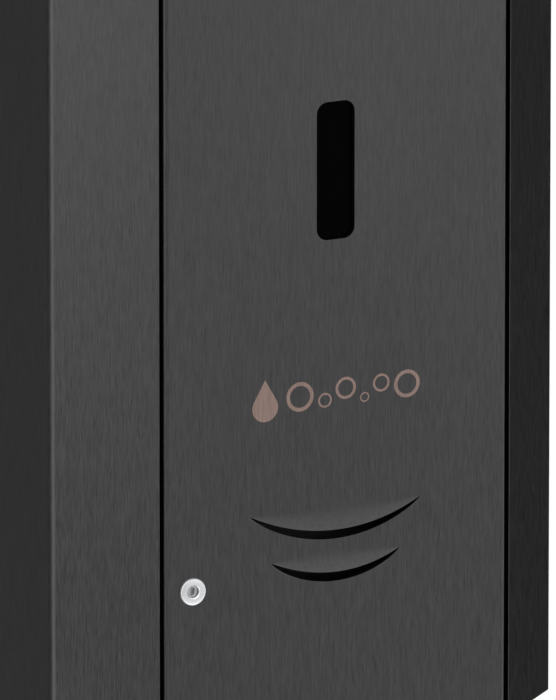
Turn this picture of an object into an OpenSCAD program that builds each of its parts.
// Wall mounted automatic soap dispenser: a folded sheet casing with chamfered cheeks, a hinged front door,
// a lift-out tank on a gear pump, and an infrared outlet underneath. Millimetres, +Z up, wall at y = 0, front at -Y.
// The origin is the centre of the wall screw pattern, on the wall face.

/* [Casing] */
// Width of the casing
body_w = 133; // [126:1:150]
// Height of the casing
body_h = 280; // [276:1:300]
// Depth from the wall to the door's face
body_d = 115; // [113:1:125]
// Width of the chamfered cheek beside the door
cheek_w = 26.8; // [24:0.1:30]
// Angle between the cheek and the door's face
cheek_a = 41; // [38:1:45]
// Sheet thickness of the casing and the door
sheet = 1.2; // [1:0.1:1.5]
// Outer radius of the casing's bends
bend_r = 3.2; // [1.8:0.1:4]
// Thickness of the wall plate
plate_t = 1.5; // [1.2:0.1:2]

/* [Door] */
// Gap between the door and the casing
door_gap = 1.1; // [0.9:0.1:1.4]
// Gap beside the door's hinges
hinge_gap = 0.6; // [0.6:0.1:1.4]
// Depth of the folded flanges round the door
flange_d = 8; // [7:0.5:9]
// Outer radius of the door's bends
door_r = 1.4; // [1.3:0.1:1.8]
// Width of the sight slot
slot_w = 10; // [8:0.5:12]
// Height of the sight slot
slot_h = 33.5; // [28:0.5:40]
// Corner radius of the sight slot
slot_r = 2.8; // [2:0.1:3.5]
// How far the middle of the sight slot is below the middle of the door
slot_z = 0.5; // [0:0.5:3]

/* [Louvres] */
// How far the upper louvre's tips are below the middle of the door
louvre_z = 82.5; // [78:0.5:86]
// Width of the upper louvre
louvre_w = 45; // [40:1:48]
// Distance from the upper louvre down to the lower one
louvre_step = 12; // [11:0.5:14]
// Height that the hoods are pressed out
hood_h = 0.9; // [0.5:0.1:1.5]

/* [Lock] */
// Distance of the lock from the middle of the door
lock_x = 37.8; // [36:0.2:39]
// Distance of the lock below the middle of the door
lock_z = 98.8; // [90:0.5:110]
// Radius of the lock's face
lock_r = 3.35; // [3:0.05:3.6]

/* [Wall fixing] */
// Distance between the wall holes across
fix_x = 90; // [80:1:100]
// Distance between the wall holes up
fix_z = 230; // [220:1:236]
// Radius of the wall holes
fix_r = 2.75; // [2.5:0.05:3]

/* [Tank] */
// Width of the tank
tank_w = 108; // [100:1:110]
// Height of the tank
tank_h = 116; // [105:1:117]
// Wall thickness of the tank
tank_t = 2; // [1.5:0.1:2.5]

/* [Pump] */
// Teeth on each pump gear
teeth = 12; // [10:1:14]
// Height of the pump gears
gear_h = 8; // [6:0.5:9]

/* [Hidden] */
$fn = 64;
steel_black = "#3a3a3b";
abs_black = "#1d1e20";
steel_bright = "#b9bcc0";
inox = "#8d9095";

// The casing's plan
half_w = body_w / 2;
half_h = body_h / 2;
cheek_x = cheek_w * cos(cheek_a);
cheek_y = cheek_w * sin(cheek_a);
front_half = half_w - cheek_x;
rear_y = -plate_t;
jamb_r = 0.5;

// The door
door_half = front_half - door_gap;
door_right = front_half - hinge_gap;
door_top = half_h - sheet - door_gap;
flange_y = -body_d + flange_d;
inner_y = -body_d + sheet;
pivot_in = 2.8;
pivot = [door_right - pivot_in, -body_d + pivot_in];
pin_r = 1.5;
running = 0.05;
pane_t = 2;
frame_t = 1.2;
stud_z = 27.5;
stud_r = 1.4;
stop_x = 37;

// The lock, from its face to the end of its cam screw
lock_head = 0.8;
lock_shank_r = 2.9;
barrel_r = 2.3;
shank_end = -body_d + 8.8;
cam_y = shank_end + 0.4;
cam_t = 1.5;
cam_l = 13.5;
cam_w = 6;
tail_r = 1.5;

// The chassis and its compartments
shelf_z = -46;
shelf_t = 3;
chassis_w = 121;
chassis_front = -98;
chassis_rear = rear_y - sheet - 0.3;
wall = 2;
floor_z = -half_h + sheet + 2;
split_x = -24;
deck_z = -119;

// The tank and its lid
tank_front = -103;
tank_rear = -24;
tank_z = shelf_z + 0.2;
tank_top = tank_z + tank_h;
tank_cut = 10;
spigot = [25, -39];
boss_r = 9;
boss_bore = 6.05;
boss_h = 8;
mouth = [0, -74];
neck_r = 18;
neck_h = 5;
lid_r = 20.5;
lid_t = 2.5;
lid_hinge_y = mouth.y + lid_r + 4;
lid_hinge_z = tank_top + neck_h + 1.5;
lid_pin_r = 1.2;

// The gear pump
gear_m = 1;
pitch_r = gear_m * teeth / 2;
tip_r = pitch_r + gear_m;
root_r = pitch_r - 1.25 * gear_m;
pump = [25, -45];
pocket_z = -69;
pocket_r = tip_r + 0.15;
gear_gap = 0.1;
pump_top = pocket_z + gear_h + 2 * gear_gap;
pump_bottom = pocket_z - 5;
cover_top = shelf_z - shelf_t - 6;
shaft_r = 1.5;
port_y = 5.6;
motor_r = 12;
motor_l = 34;

// The outlet
nozzle_y = -92;
lens_y = -79;
cowl_w = 52;
cowl_y0 = -101;
cowl_y1 = -70;
cowl_drop = 10;
hose_r = 3;

// The batteries: four AA cells upright, two rows deep
cell_r = 7.1;
cell_l = 50.5;
cell_pitch = 14.8;
cell_x = -49.2;
cell_y = -87.4;
cell_z = -110.6;
tray_rear = cell_y + cell_pitch + cell_r + 1.6;
tray_top = -55;
lead_ends = [-38, -45];
lead_z = -112;

// The controls
switch_x = 40;
switch_z = -70;
dial_z = -100;
board_y = -86;

// ---- helpers ----

function unit(v) = v / norm(v);
function left_of(v) = let (u = unit(v)) [-u.y, u.x];
function turned(v, a) = [v.x * cos(a) - v.y * sin(a), v.x * sin(a) + v.y * cos(a)];
function backwards(list) = [for (i = [len(list) - 1:-1:0]) list[i]];

// The corner b between a and c as points on an arc of radius r
function corner(a, b, c, r, n = 8) = let (
    u = unit(a - b),
    w = unit(c - b),
    half = acos(u * w) / 2,
    from = b + u * r / tan(half),
    centre = b + unit(u + w) * r / sin(half),
    way = sign(cross(b - a, c - b))
) [for (i = [0:n]) centre + turned(from - centre, way * (180 - 2 * half) * i / n)];

// A path with rounded corners; a radius of 0 leaves the point as it is
function rounded(pts, radii) = [for (i = [0:len(pts) - 1]) each (
    radii[i] <= 0 ? [pts[i]] :
    corner(pts[(i + len(pts) - 1) % len(pts)], pts[i], pts[(i + 1) % len(pts)], radii[i])
)];

// An open path moved sideways by d, to its left
function beside(pts, d) = [for (i = [0:len(pts) - 1]) let (
    n0 = left_of(i > 0 ? pts[i] - pts[i - 1] : pts[1] - pts[0]),
    n1 = i < len(pts) - 1 ? left_of(pts[i + 1] - pts[i]) : n0
) pts[i] + (n0 + n1) * d / (1 + n0 * n1)];

// Sheet metal seen on its edge: outer is the outside face, and the material lies to its right
module folded(outer, radii, t = sheet) {
    polygon(concat(
        rounded(outer, radii),
        backwards(rounded(beside(outer, -t), [for (r = radii) max(0, r - t)]))
    ));
}

module both_sides() {
    children();
    mirror([1, 0, 0]) children();
}

// Local Z points out of the front (-Y), and local Y points up
module on_front(x = 0, y = -body_d, z = 0) {
    translate([x, y, z]) rotate([90, 0, 0]) children();
}

// A round bar along Y from y0 (front) to y1 (rear)
module bar_y(r, y0, y1, x = 0, z = 0) {
    on_front(x, y1, z) cylinder(r = r, h = y1 - y0);
}

module bar_x(r, x0, x1, y, z) {
    translate([x0, y, z]) rotate([0, 90, 0]) cylinder(r = r, h = x1 - x0);
}

module block(a, b) {
    translate(a) cube(b - a);
}

// A flat outline with arcs at its corners, w by h, centred
module rounded_plate(w, h, r) {
    c = [[-w, -h], [w, -h], [w, h], [-w, h]] / 2;
    polygon(rounded(c, [r, r, r, r]));
}

plan_outline = [
    [-front_half, -body_d], [front_half, -body_d], [half_w, -body_d + cheek_y],
    [half_w, rear_y], [-half_w, rear_y], [-half_w, -body_d + cheek_y]
];

// ---- casing ----

module back_plate() color(inox) difference() {
    on_front(0, 0) linear_extrude(plate_t) rounded_plate(body_w - 2, body_h - 2, 3);
    for (x = [-1, 1], z = [-1, 1]) bar_y(fix_r, -plate_t - 1, 1, x * fix_x / 2, z * fix_z / 2);
    for (p = chassis_fixings()) bar_y(2.05, -plate_t - 1, 1, p.x, p.y);
    for (p = rivet_places()) bar_y(1.65, -plate_t - 1, 1, p.x, p.y);
}

function rivet_places() = [for (x = [-1, 1], z = [-110, 0, 110]) [x * (half_w - 7), z]];
function chassis_fixings() = [for (x = [-50, 50], z = [-62, -128]) [x, z]];

casing_path = [
    [-front_half, flange_y], [-front_half, -body_d], [-half_w, -body_d + cheek_y],
    [-half_w, rear_y], [-half_w + 13, rear_y]
];

module casing() color(steel_black) difference() {
    union() {
        both_sides() translate([0, 0, -half_h]) linear_extrude(body_h)
            folded(casing_path, [0, jamb_r, bend_r, bend_r, 0]);
        for (z = [-half_h, half_h - sheet]) translate([0, 0, z]) linear_extrude(sheet)
            polygon(rounded(plan_outline, [0.6, 0.6, bend_r, bend_r, bend_r, bend_r]));
    }
    cowl_space(0.4, -half_h - 1, -half_h + sheet + 1);
    for (p = rivet_places()) bar_y(1.65, -plate_t - 3, 0, p.x, p.y);
}

// Pop rivets that hold the casing's rear flanges on the wall plate
module case_rivets() color(steel_bright) for (p = rivet_places()) {
    bar_y(1.6, rear_y - sheet, -0.3, p.x, p.y);
    bar_y(3, rear_y - sheet - 1, rear_y - sheet, p.x, p.y);
}

// Angle brackets welded inside the casing, which the door closes against
module door_stops() color(steel_black) for (s = [-1, 1]) {
    z0 = s > 0 ? half_h - sheet - 9 : -half_h + sheet;
    block([-stop_x - 6, flange_y + 1.9, z0], [-stop_x + 5, flange_y + 3.1, z0 + 9]);
    z1 = s > 0 ? half_h - sheet - 1.2 : -half_h + sheet;
    block([-stop_x - 6, flange_y + 3.1, z1], [-stop_x + 5, flange_y + 9, z1 + 1.2]);
}

module stop_pads() color("#2a2a2a") for (s = [-1, 1])
    bar_y(3.2, flange_y + 0.3, flange_y + 1.9, -stop_x, s * (door_top - 2.6));

module hinge_pins() color(steel_bright) for (s = [0, 1]) mirror([0, 0, s])
    translate([pivot.x, pivot.y, half_h - sheet - 4]) cylinder(r = pin_r, h = 4);

// ---- door ----

function arc_r(chord, sag) = chord * chord / (8 * sag) + sag / 2;

// One louvre: a crescent opening under a lip that is pressed out of the sheet
// tip_z is the height of its tips, top and low the depth of its upper and lower arcs
module louvre_cut(tip_z, chord, top, low) difference() {
    bar_y(arc_r(chord, low), -body_d - 5, -body_d + 5, 0, tip_z - low + arc_r(chord, low));
    bar_y(arc_r(chord, top), -body_d - 6, -body_d + 6, 0, tip_z - top + arc_r(chord, top));
}

module louvre_hood(tip_z, chord, top) {
    r = arc_r(chord, top);
    reach = 6;
    sink = 0.3;
    bulge_r = arc_r(chord, hood_h);
    middle = tip_z - top + r;
    intersection() {
        on_front(0, -body_d, middle) rotate_extrude($fn = 128) polygon([
            [r - reach, -sheet - 1.5], [r + 0.05, -sheet - 1.5], [r + 0.05, hood_h + 0.2], [r - reach, -sink]
        ]);
        translate([0, -body_d - hood_h + bulge_r, tip_z - top - 2])
            cylinder(r = bulge_r, h = top + 10, $fn = 128);
        block([-chord / 2 - 1.5, -body_d - 2, tip_z - top - 1.5], [chord / 2 + 1.5, -body_d + 3.2, tip_z + 7.5]);
    }
}

louvres = [
    [-louvre_z, louvre_w, 5.4, 7.85],
    [-louvre_z - louvre_step, louvre_w * 0.75, 3.7, 6.25]
];

door_path = [[door_right, flange_y], [door_right, -body_d], [-door_half, -body_d], [-door_half, flange_y]];

module door_panel() color(steel_black) difference() {
    union() {
        translate([0, 0, -door_top]) linear_extrude(2 * door_top)
            folded(door_path, [0, door_r, door_r, 0]);
        for (z = [-door_top, door_top - sheet])
            block([-door_half + sheet - 0.4, inner_y - 0.4, z], [door_right - sheet + 0.4, flange_y, z + sheet]);
        for (l = louvres) louvre_hood(l[0], l[1], l[2]);
        for (s = [-1, 1]) bar_y(stud_r, inner_y - 0.4, inner_y + 6.2, 0, s * stud_z);
    }
    on_front(0, inner_y + 1, -slot_z) linear_extrude(sheet + 2) rounded_plate(slot_w, slot_h, slot_r);
    for (l = louvres) {
        translate([0, sheet, 0]) louvre_hood(l[0], l[1], l[2]);
        louvre_cut(l[0], l[1], l[2], l[3]);
    }
    bar_y(lock_shank_r + running, -body_d - 1, inner_y + 1, -lock_x, -lock_z);
    for (z = [-door_top - 1, door_top - sheet - 1]) translate([pivot.x, pivot.y, z])
        cylinder(r = pin_r + running, h = sheet + 2);
}

module sight_window() color("#0a0a0bcc") difference() {
    on_front(0, inner_y + pane_t) linear_extrude(pane_t) rounded_plate(20, 64, 3);
    for (s = [-1, 1]) bar_y(stud_r + 0.1, inner_y - 1, inner_y + 5, 0, s * stud_z);
}

module window_frame() color(abs_black) difference() {
    on_front(0, inner_y + pane_t + frame_t) linear_extrude(frame_t) rounded_plate(20, 64, 3);
    on_front(0, inner_y + pane_t + frame_t + 1) linear_extrude(frame_t + 2) rounded_plate(12, 40, 3);
    for (s = [-1, 1]) bar_y(stud_r + 0.1, inner_y, inner_y + 6, 0, s * stud_z);
}

module window_nuts() color(steel_bright) for (s = [-1, 1]) difference() {
    bar_y_hex(3.1, inner_y + pane_t + frame_t, inner_y + pane_t + frame_t + 2.2, 0, s * stud_z);
    bar_y(stud_r + 0.05, inner_y, inner_y + 8, 0, s * stud_z);
}

module bar_y_hex(r, y0, y1, x, z) {
    on_front(x, y1, z) cylinder(r = r, h = y1 - y0, $fn = 6);
}

// ---- lock ----

module lock_body() color("#d9dadc") difference() {
    union() {
        bar_y(lock_r, -body_d - lock_head, -body_d, -lock_x, -lock_z);
        bar_y(lock_shank_r, -body_d, shank_end, -lock_x, -lock_z);
    }
    bar_y(barrel_r + running, -body_d - 2, shank_end + 1, -lock_x, -lock_z);
}

module lock_nut() color(steel_bright) difference() {
    bar_y_hex(4.5, inner_y, inner_y + 2.2, -lock_x, -lock_z);
    bar_y(lock_shank_r + 0.02, inner_y - 1, inner_y + 4, -lock_x, -lock_z);
}

// The turning barrel, with an oval key socket in its face
module lock_barrel() color("#c9ccd0") difference() {
    union() {
        bar_y(barrel_r, -body_d - lock_head + 0.15, shank_end + 0.2, -lock_x, -lock_z);
        bar_y(tail_r, shank_end + 0.2, cam_y + cam_t, -lock_x, -lock_z);
    }
    on_front(-lock_x, -body_d + 1.6, -lock_z) rotate(-12) linear_extrude(4) union() {
        for (s = [-1, 1]) translate([0, s * 0.55]) circle(r = 1.1);
        square([2.2, 1.1], center = true);
    }
    bar_y(0.95, cam_y - 4, cam_y + cam_t + 1, -lock_x, -lock_z);
}

module lock_cam() color(steel_bright) difference() {
    union() {
        block([-lock_x - cam_w / 2, cam_y, -lock_z - cam_l + cam_w / 2], [-lock_x + cam_w / 2, cam_y + cam_t, -lock_z]);
        bar_y(cam_w / 2, cam_y, cam_y + cam_t, -lock_x, -lock_z);
        bar_y(cam_w / 2, cam_y, cam_y + cam_t, -lock_x, -lock_z - cam_l + cam_w / 2);
    }
    bar_y(tail_r + 0.02, cam_y - 1, cam_y + cam_t + 1, -lock_x, -lock_z);
}

module cam_screw() color(steel_bright) difference() {
    union() {
        bar_y(2.6, cam_y + cam_t, cam_y + cam_t + 1.2, -lock_x, -lock_z);
        bar_y(0.9, cam_y - 3.5, cam_y + cam_t, -lock_x, -lock_z);
    }
    block([-lock_x - 2, cam_y + cam_t + 0.6, -lock_z - 0.3], [-lock_x + 2, cam_y + cam_t + 2, -lock_z + 0.3]);
}

// ---- chassis ----

// One moulding: the shelf that carries the tank, and the box of compartments under it
module chassis() color(abs_black) difference() {
    union() {
        block([-chassis_w / 2, chassis_front, floor_z], [chassis_w / 2, chassis_rear, shelf_z]);
        translate([0, 0, shelf_z]) linear_extrude(7) difference() {
            polygon(tank_plan(-3));
            polygon(tank_plan(-0.6));
        }
    }
    block([-chassis_w / 2 + wall, chassis_front - 1, deck_z + wall],
        [split_x - wall / 2, tray_rear + 0.4, shelf_z - shelf_t]);
    block([split_x + wall / 2, chassis_front - 1, deck_z + wall],
        [chassis_w / 2 - wall, chassis_rear - 3, shelf_z - shelf_t]);
    block([-chassis_w / 2 + wall, tray_rear + wall + 0.4, deck_z + wall],
        [split_x + wall / 2 + 1, chassis_rear - 3, shelf_z - shelf_t]);
    block([split_x - 2, tray_rear + 4, deck_z + wall + 0.2], [split_x + 3, tray_rear + 14, deck_z + wall + 6]);
    for (x = lead_ends) bar_y(1.5, tray_rear, tray_rear + wall + 1, x, lead_z);
    block([-chassis_w / 2 + wall, chassis_front - 1, floor_z + wall], [chassis_w / 2 - wall, chassis_rear - 3, deck_z]);
    translate([0, nozzle_y, deck_z - 1]) cylinder(r = hose_r + 1, h = 4);
    block([-20, -80, deck_z - 1], [-8, -76, deck_z + 4]);
    cowl_space(-3.5, floor_z - 1, floor_z + wall + 1);
    translate([spigot.x, spigot.y, shelf_z - shelf_t - 1]) cylinder(r = boss_r + 1.2, h = 12);
    for (x = [-1, 1]) bar_y(6, chassis_rear - 4, 0, x * fix_x / 2, -fix_z / 2);
    for (p = rivet_places()) bar_y(3.8, chassis_rear - 1.4, 0, p.x, p.y);
    for (p = chassis_fixings()) bar_y(2.05, chassis_rear - 4, 0, p.x, p.y);
}

module chassis_screws() color(steel_bright) for (p = chassis_fixings()) difference() {
    union() {
        bar_y(1.95, chassis_rear - 3, -0.2, p.x, p.y);
        bar_y(3.6, chassis_rear - 5.2, chassis_rear - 3, p.x, p.y);
    }
    for (a = [0, 90]) on_front(p.x, chassis_rear - 4, p.y) rotate(a) translate([-2.2, -0.5, 0]) cube([4.4, 1, 3]);
}

// ---- tank ----

function tank_plan(inset = 0) = let (x = tank_w / 2 - inset, f = tank_front + inset, c = tank_cut - 0.586 * inset) [
    [-x, tank_rear - inset], [-x, f + c], [-x + c, f], [x - c, f], [x, f + c], [x, tank_rear - inset]
];

module tank_shape(inset, z0, z1) translate([0, 0, z0]) linear_extrude(z1 - z0)
    polygon(rounded(tank_plan(inset), [for (i = [0:5]) 6 - inset]));

module tank() color("#e8eceecc") difference() {
    union() {
        tank_shape(0, tank_z, tank_top);
        translate([spigot.x, spigot.y, tank_z - boss_h]) cylinder(r = boss_r, h = boss_h + 1);
        translate([mouth.x, mouth.y, tank_top - 1]) cylinder(r = neck_r, h = neck_h + 1);
        for (x = [-1, 1]) block([x * 9 - 2, lid_hinge_y - 3, tank_top - 1], [x * 9 + 2, lid_hinge_y + 3, lid_hinge_z + 3]);
    }
    tank_shape(tank_t, tank_z + tank_t, tank_top - tank_t);
    translate([mouth.x, mouth.y, tank_top - tank_t - 1]) cylinder(r = neck_r - 2, h = neck_h + 6);
    translate([spigot.x, spigot.y, tank_z - boss_h - 1]) cylinder(r = boss_bore, h = boss_h + 6);
    bar_x(lid_pin_r + running, -15, 15, lid_hinge_y, lid_hinge_z);
}

module fill_lid() color("#2b6f9e") difference() {
    union() {
        translate([mouth.x, mouth.y, tank_top + neck_h + 0.3]) cylinder(r = lid_r, h = lid_t);
        translate([mouth.x, mouth.y, tank_top + 1.3]) cylinder(r = lid_r, h = neck_h - 0.9);
        block([-6, mouth.y, tank_top + neck_h + 0.3], [6, lid_hinge_y, tank_top + neck_h + 0.3 + lid_t]);
        bar_x(2.6, -6, 6, lid_hinge_y, lid_hinge_z);
        block([-7, mouth.y - lid_r - 4, tank_top + neck_h + 0.3], [7, mouth.y - lid_r + 4, tank_top + neck_h + 0.3 + lid_t]);
    }
    translate([mouth.x, mouth.y, tank_top]) cylinder(r = neck_r + 0.5, h = neck_h + 0.3);
    block([-lid_r - 1, mouth.y - 1, tank_top], [lid_r + 1, lid_hinge_y, tank_top + neck_h + 0.3]);
    bar_x(lid_pin_r + 0.02, -8, 8, lid_hinge_y, lid_hinge_z);
}

module lid_pin() color(steel_bright) bar_x(lid_pin_r, -11, 11, lid_hinge_y, lid_hinge_z);

// A flat ring on the underside of the lid, over the neck
module lid_seal() color("#4a4a4c") translate([mouth.x, mouth.y, tank_top + neck_h + 0.05]) difference() {
    cylinder(r = neck_r - 0.3, h = 0.2);
    translate([0, 0, -1]) cylinder(r = neck_r - 2.6, h = 3);
}

module intake_seal() color("#1c1c1c") translate([spigot.x, spigot.y, tank_z - 4])
    rotate_extrude() translate([4.95, 0]) circle(r = 0.95, $fn = 32);

// ---- gear pump ----

// An involute flank as points from the base circle out to the tip, for half a tooth turned by a
function roll(r, base) = r <= base ? 0 : sqrt(r * r / (base * base) - 1);
function involute_a(r, base) = roll(r, base) * 180 / PI - atan(roll(r, base));
function tooth(base, half_a) = [for (r = [root_r, base, (base + pitch_r) / 2, pitch_r, (pitch_r + tip_r) / 2, tip_r])
    let (a = half_a + involute_a(pitch_r, base) - involute_a(max(r, base), base)) [r, a]];

module gear_outline() {
    base = pitch_r * cos(20);
    flank = tooth(base, 90 / teeth - 1.1);
    polygon([for (i = [0:teeth - 1]) each concat(
        [for (p = flank) p.x * [cos(360 / teeth * i - p.y), sin(360 / teeth * i - p.y)]],
        [for (p = backwards(flank)) p.x * [cos(360 / teeth * i + p.y), sin(360 / teeth * i + p.y)]]
    )]);
}

// Turns a gear so that a tooth faces the mesh on one and a gap faces it on the other
module pump_gear(x, turn_by) translate([pump.x + x, pump.y, pocket_z + gear_gap]) difference() {
    linear_extrude(gear_h) rotate(turn_by) gear_outline();
    if (x > 0) translate([0, 0, -1]) cylinder(r = shaft_r + running, h = gear_h + 2);
}

module drive_gear() color("#ececec") union() {
    pump_gear(-pitch_r, 0);
    translate([pump.x - pitch_r, pump.y, pump_bottom - 6]) cylinder(r = shaft_r, h = 7 + pocket_z - pump_bottom);
}

module idler_gear() color("#ececec") pump_gear(pitch_r, 180 + 180 / teeth);

module pump_block(z0, z1) block([pump.x - 17, pump.y - 15, z0], [pump.x + 17, pump.y + 15, z1]);

function pump_fixings() = [for (x = [-14, 14], y = [-12, 12]) [pump.x + x, pump.y + y]];

module pump_body() color("#c8cbd0") difference() {
    union() {
        pump_block(pump_bottom, pump_top);
        bar_y(3.4, pump.y - 26, pump.y - 15, pump.x, pocket_z + gear_h / 2);
    }
    for (x = [-pitch_r, pitch_r]) translate([pump.x + x, pump.y, pocket_z]) cylinder(r = pocket_r, h = 30);
    for (y = [-port_y, port_y]) translate([pump.x, pump.y + y, pocket_z]) cylinder(r = 3.2, h = 30);
    bar_y(1.8, pump.y - 30, pump.y - port_y, pump.x, pocket_z + gear_h / 2);
    translate([pump.x - pitch_r, pump.y, pump_bottom - 1]) cylinder(r = shaft_r + running, h = 20);
    translate([pump.x - pitch_r, pump.y, pump_bottom - 1]) cylinder(r = 4, h = 3.2);
    for (p = pump_fixings()) translate([p.x, p.y, pump_bottom - 1]) cylinder(r = 1.3, h = 30);
}

// The lid of the pump, with the idler's fixed axle below and the intake spigot above
module pump_cover() color("#2a2c2f") difference() {
    union() {
        pump_block(pump_top, pump_top + 3);
        translate([pump.x + pitch_r, pump.y, pocket_z + 0.3]) cylinder(r = shaft_r, h = gear_h + 1);
        translate([spigot.x, spigot.y, pump_top + 1]) cylinder(r = 8, h = cover_top - pump_top - 1);
        translate([spigot.x, spigot.y, 0]) rotate_extrude() polygon([
            [0, cover_top - 1], [5.7, cover_top - 1], [5.7, tank_z - 5.3], [3.9, tank_z - 5.3],
            [3.9, tank_z - 2.7], [5.7, tank_z - 2.7], [5.7, tank_z + 0.4], [4.9, tank_z + 1.2], [0, tank_z + 1.2]
        ]);
    }
    translate([spigot.x, spigot.y, pump_top - 1]) cylinder(r = 2.4, h = 40);
    for (p = pump_fixings()) translate([p.x, p.y, pump_top - 1]) cylinder(r = 1.6, h = 5);
}

module pump_screws() color(steel_bright) for (p = pump_fixings()) translate([p.x, p.y, 0]) difference() {
    union() {
        translate([0, 0, pump_bottom + 2]) cylinder(r = 1.25, h = pump_top + 3 - pump_bottom - 2);
        translate([0, 0, pump_top + 3]) cylinder(r = 2.7, h = 1.8);
    }
    translate([0, 0, pump_top + 3.8]) cylinder(r = 1.2, h = 3, $fn = 6);
}

// A lip seal round the drive shaft
module shaft_seal() color("#1c1c1c") translate([pump.x - pitch_r, pump.y, pump_bottom + 0.1]) difference() {
    cylinder(r = 3.95, h = 2);
    translate([0, 0, -1]) cylinder(r = shaft_r + 0.06, h = 5);
}

module gear_motor() color("#9ea2a8") translate([pump.x - pitch_r, pump.y, pump_bottom]) difference() {
    union() {
        translate([0, 0, -9]) cylinder(r = motor_r, h = 9);
        translate([0, 0, -motor_l]) cylinder(r = motor_r - 0.8, h = motor_l - 9);
        translate([0, 0, -motor_l - 1.6]) cylinder(r = 3.5, h = 2);
        for (x = [-1, 1]) block([x * 7 - 1.2, -0.25, -motor_l - 4], [x * 7 + 1.2, 0.25, -motor_l + 1]);
    }
    translate([0, 0, -6.5]) cylinder(r = shaft_r + running, h = 10);
}

// ---- outlet ----

// A tube of n sides and radius r along a route, with rings square to it
function along(route, i) = unit(route[min(i + 1, len(route) - 1)] - route[max(i - 1, 0)]);
function side_of(t) = unit(cross(abs(t.z) > 0.9 ? [0, 1, 0] : [0, 0, 1], t));
function ring(c, t, r, n, a) = let (u = a, w = cross(t, a)) [for (k = [0:n - 1])
    c + r * (u * cos(360 * k / n) + w * sin(360 * k / n))];
// Carries the ring's first direction along, so that the tube doesn't twist
function carried(route, i, a) = i == 0 ? a : let (b = carried(route, i - 1, a), t = along(route, i)) unit(b - t * (b * t));

module tube_along(route, r, n = 8) {
    last = len(route) - 1;
    first = side_of(along(route, 0));
    points = [for (i = [0:last]) each ring(route[i], along(route, i), r, n, carried(route, i, first))];
    sides = [for (i = [0:last - 1], k = [0:n - 1]) let (a = i * n + k, b = i * n + (k + 1) % n) [a, b, b + n, a + n]];
    polyhedron(points, concat(
        [[for (k = [0:n - 1]) k]], [[for (k = [n - 1:-1:0]) last * n + k]], [for (s = sides) backwards(s)]
    ));
}

// A smooth line through a few points (Catmull-Rom), m steps for each
function spline(p, m = 5) = concat([for (i = [0:len(p) - 2], k = [0:m - 1]) let (
    t = k / m,
    a = p[max(i - 1, 0)],
    b = p[i],
    c = p[i + 1],
    d = p[min(i + 2, len(p) - 1)]
) (2 * b + (c - a) * t + (2 * a - 5 * b + 4 * c - d) * t * t + (3 * b - a - 3 * c + d) * t * t * t) / 2], [p[len(p) - 1]]);

hose_route = [
    [25, -71.1, -65], [25, -75.5, -65.1], [21.5, -82, -66.8], [13.5, -87.2, -71], [6, -90.4, -78.4],
    [1.6, -91.8, -88], [0.2, -92, -98], [0, -92, -108], [0, -92, -117.9]
];

module outlet_hose() color("#d8dadc") tube_along(spline(hose_route), hose_r, 10);

module nozzle() color("#101113") translate([0, nozzle_y, 0]) rotate_extrude() polygon([
    [1.5, deck_z + 1], [3, deck_z + 1], [3, deck_z - 6], [3.6, deck_z - 8], [3.6, -half_h - cowl_drop + 5.2],
    [6, -half_h - cowl_drop + 5.2], [6, -half_h - cowl_drop + 3.2], [3.6, -half_h - cowl_drop + 3.2],
    [3.6, -half_h - cowl_drop - 1], [2.6, -half_h - cowl_drop - 4], [1.5, -half_h - cowl_drop - 4]
]);

module cowl_outline(grow = 0) translate([0, (cowl_y0 + cowl_y1) / 2])
    rounded_plate(cowl_w + 2 * grow, cowl_y1 - cowl_y0 + 2 * grow, max(1.5, 6 + grow));

module cowl_space(grow, z0, z1) translate([0, 0, z0]) linear_extrude(z1 - z0) cowl_outline(grow);

// The nose under the casing, clamped between the casing's floor and the chassis
module outlet_cowl() color(abs_black) difference() {
    union() {
        cowl_space(0, -half_h - cowl_drop, -half_h + sheet + 1);
        cowl_space(4, -half_h + sheet, floor_z);
    }
    cowl_space(-2.2, -half_h - cowl_drop + 3, floor_z + 1);
    translate([0, nozzle_y, -half_h - cowl_drop - 1]) cylinder(r = 3.7, h = 6);
    translate([0, lens_y, -half_h - cowl_drop - 1]) linear_extrude(6) rounded_plate(28, 9, 4.4);
    translate([0, lens_y, -half_h - cowl_drop + 1.5]) linear_extrude(6) rounded_plate(31, 11, 5.4);
}

module sensor_lens() color("#150a10dd") translate([0, lens_y, 0]) union() {
    translate([0, 0, -half_h - cowl_drop + 0.2]) linear_extrude(1.4) rounded_plate(27.8, 8.8, 4.3);
    translate([0, 0, -half_h - cowl_drop + 1.5]) linear_extrude(1.5) rounded_plate(30.8, 10.8, 5.3);
}

module sensor_board() color("#1f6b45") difference() {
    block([-21, -86, -134], [21, -73, -132.4]);
    for (x = [-1, 1]) translate([x * 8, lens_y, -135]) cylinder(r = 0.5, h = 4);
}

// The emitter and the receiver, pointing down at the lens
module infrared_pair() color("#20202a") for (x = [-8, 8]) translate([x, lens_y, 0]) union() {
    translate([0, 0, -143]) cylinder(r = 2.5, h = 6.6);
    translate([0, 0, -143]) sphere(r = 2.5, $fn = 32);
    translate([0, 0, -136.4]) cylinder(r = 2.9, h = 1);
    translate([0, 0, -135.5]) cylinder(r = 0.4, h = 1.5);
}

// ---- batteries ----

function cell_places() = [for (y = [0, 1], x = [0, 1]) [cell_x + x * cell_pitch, cell_y + y * cell_pitch, cell_z]];

module battery_tray() color("#2b2d31") difference() {
    block([-58.2, chassis_front + 2.2, deck_z + wall + 0.1], [split_x - 1.2, tray_rear, tray_top]);
    for (c = cell_places()) translate([c.x, c.y, cell_z - 2.4]) cylinder(r = cell_r + 0.2, h = cell_l + 3.2);
    block([-56.5, chassis_front - 1, cell_z - 2.4], [split_x - 2.7, cell_y + cell_pitch, cell_z + cell_l + 0.8]);
}

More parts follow.
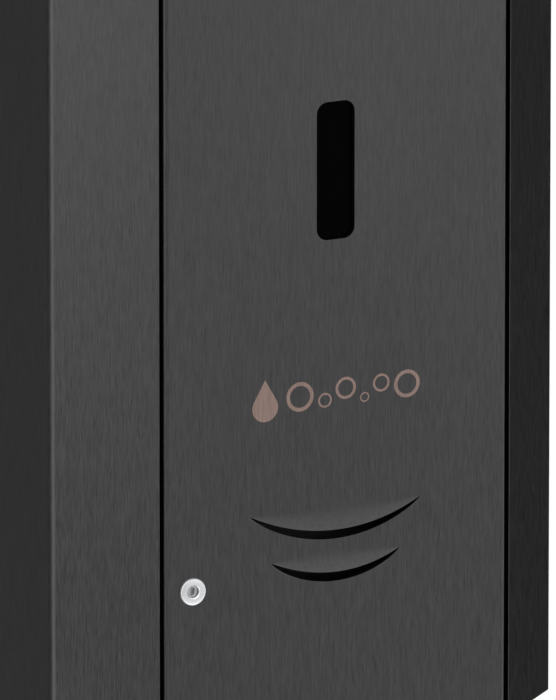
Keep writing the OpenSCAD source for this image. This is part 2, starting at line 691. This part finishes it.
module battery_cells() for (c = cell_places()) translate(c) {
    color("#26282c") cylinder(r = cell_r, h = cell_l - 14.5);
    color("#b7842f") translate([0, 0, cell_l - 14.5]) cylinder(r = cell_r, h = 13.2);
    color(steel_bright) translate([0, 0, cell_l - 1.4]) cylinder(r = 2.7, h = 1.4);
}

// Spring plates under the cells and contact plates over them
module battery_contacts() color(steel_bright) for (c = cell_places()) translate([c.x, c.y, 0]) {
    translate([-5, -5, cell_z - 2.4]) cube([10, 10, 0.4]);
    for (i = [0:3]) translate([0, 0, cell_z - 2.1 + i * 0.52]) cylinder(r = 4.6 - i * 0.8, h = 0.54);
    translate([-5, -5, cell_z + cell_l + 0.4]) cube([10, 10, 0.4]);
}

module battery_cover() color(abs_black) union() {
    block([-58.2, chassis_front, deck_z + wall + 0.2], [split_x - 1.2, chassis_front + 2, tray_top - 2]);
    for (i = [-2:2]) block([-46, chassis_front - 0.8, -80 + i * 2.4], [-36, chassis_front + 0.1, -79 + i * 2.4]);
}

// ---- controls ----

module control_panel() color("#232528") difference() {
    block([split_x + 1.2, chassis_front, deck_z + wall + 0.2], [chassis_w / 2 - wall - 0.2, chassis_front + 2, shelf_z - shelf_t - 0.4]);
    block([switch_x - 9.6, chassis_front - 1, switch_z - 6.6], [switch_x + 9.6, chassis_front + 3, switch_z + 6.6]);
    bar_y(3.4, chassis_front - 1, chassis_front + 3, switch_x, dial_z);
    for (i = [0:4]) bar_y(1, chassis_front - 1, chassis_front + 3, 12 + 4 * i, dial_z + 4);
}

module control_board() color("#1f6b45") block([6, board_y, deck_z + wall + 1], [56, board_y + 1.6, -82]);

module board_components() union() {
    color("#18191b") block([14, board_y + 1.6, -106], [26, board_y + 3.4, -94]);
    color("#e4e1d6") block([8, board_y + 1.6, -115], [12, board_y + 6.6, -105]);
    color("#2f3338") bar_y(5, board_y - 6, board_y, 20, dial_z + 4);
    color("#c9ccd0") bar_y(4, board_y - 5, board_y, switch_x, dial_z);
    color("#c9ccd0") bar_y(1.4, board_y - 7.5, board_y - 5, switch_x, dial_z);
    color("#3b5a8c") bar_y(3.2, board_y + 1.6, board_y + 9.6, 48, -92);
}

module switch_body() color("#141516") difference() {
    union() {
        block([switch_x - 9.5, chassis_front, switch_z - 6.5], [switch_x + 9.5, chassis_front + 14, switch_z + 6.5]);
        difference() {
            block([switch_x - 10.6, chassis_front - 1.2, switch_z - 7.6], [switch_x + 10.6, chassis_front, switch_z + 7.6]);
            block([switch_x - 8, chassis_front - 3, switch_z - 5], [switch_x + 8, chassis_front + 1, switch_z + 5]);
        }
    }
    block([switch_x - 8, chassis_front - 3, switch_z - 5], [switch_x + 8, chassis_front + 7, switch_z + 5]);
    bar_x(0.85, switch_x - 9, switch_x + 9, chassis_front + 0.6, switch_z);
}

// A rocker about a pivot across it, with its face dished
module power_rocker() color("#0f1011") difference() {
    union() {
        translate([switch_x - 7.6, chassis_front + 0.6, switch_z]) rotate([0, 90, 0]) linear_extrude(15.2)
            polygon([[-4.6, -1.2], [0, -2.6], [4.6, -4.2], [4.3, 2], [0, 4], [-4.3, 2]]);
        bar_x(0.8, switch_x - 8.8, switch_x + 8.8, chassis_front + 0.6, switch_z);
    }
    bar_x(12, switch_x - 9, switch_x + 9, chassis_front - 14.2, switch_z + 1);
}

module dose_dial() color("#d7d9dc") difference() {
    union() {
        bar_y(7, chassis_front - 4, chassis_front - 0.3, switch_x, dial_z);
        bar_y(3.2, chassis_front - 0.4, board_y - 5.4, switch_x, dial_z);
    }
    bar_y(1.45, board_y - 9, board_y, switch_x, dial_z);
    block([switch_x - 0.6, chassis_front - 5, dial_z + 1], [switch_x + 0.6, chassis_front - 3.2, dial_z + 8]);
    for (a = [0:30:330]) on_front(switch_x, chassis_front + 1, dial_z) rotate(a + 15) translate([7.6, 0, 0])
        cylinder(r = 1, h = 8);
}

// Leads to the board: two from the batteries, two from the motor, and two from the sensor
function lead_routes() = [
    [[9, -79.2, -108], [9, -76, -108], [2, -66, -104], [-12, -57, -103], [-19, -53.5, -111], [-24, -53, -114.5],
        [-31, -53, -114.5], [-37, -55, -113], [-38, -59, -112], [lead_ends[0], tray_rear + 0.1, lead_z]],
    [[9, -79.2, -111], [9, -76, -111], [2, -66, -110], [-10, -58.5, -110], [-18, -57, -113.5], [-24, -56.5, -115],
        [-33, -56.5, -115], [-43, -56.5, -113], [-45, -60, -112], [lead_ends[1], tray_rear + 0.1, lead_z]],
    [[11, -79.2, -107], [11, -76, -107], [11, -64, -113], [12, -52, -115.4], [12, -46, -115.2], [12, -45, -112.9]],
    [[11, -79.2, -110], [11, -76, -110], [20, -64, -114], [26, -53, -115.4], [26, -46, -115.2], [26, -45, -112.9]]
];

module wiring() for (i = [0:3]) color(["#a32b24", "#1b1b1b", "#a32b24", "#1b1b1b"][i])
    tube_along(spline(lead_routes()[i], 4), 0.7, 8);

back_plate();
casing();
case_rivets();
door_stops();
stop_pads();
hinge_pins();
door_panel();
sight_window();
window_frame();
window_nuts();
lock_body();
lock_nut();
lock_barrel();
lock_cam();
cam_screw();
chassis();
chassis_screws();
tank();
fill_lid();
lid_pin();
lid_seal();
intake_seal();
pump_body();
pump_cover();
pump_screws();
shaft_seal();
drive_gear();
idler_gear();
gear_motor();
outlet_hose();
nozzle();
outlet_cowl();
sensor_lens();
sensor_board();
infrared_pair();
battery_tray();
battery_cells();
battery_contacts();
battery_cover();
control_panel();
control_board();
board_components();
switch_body();
power_rocker();
dose_dial();
wiring();
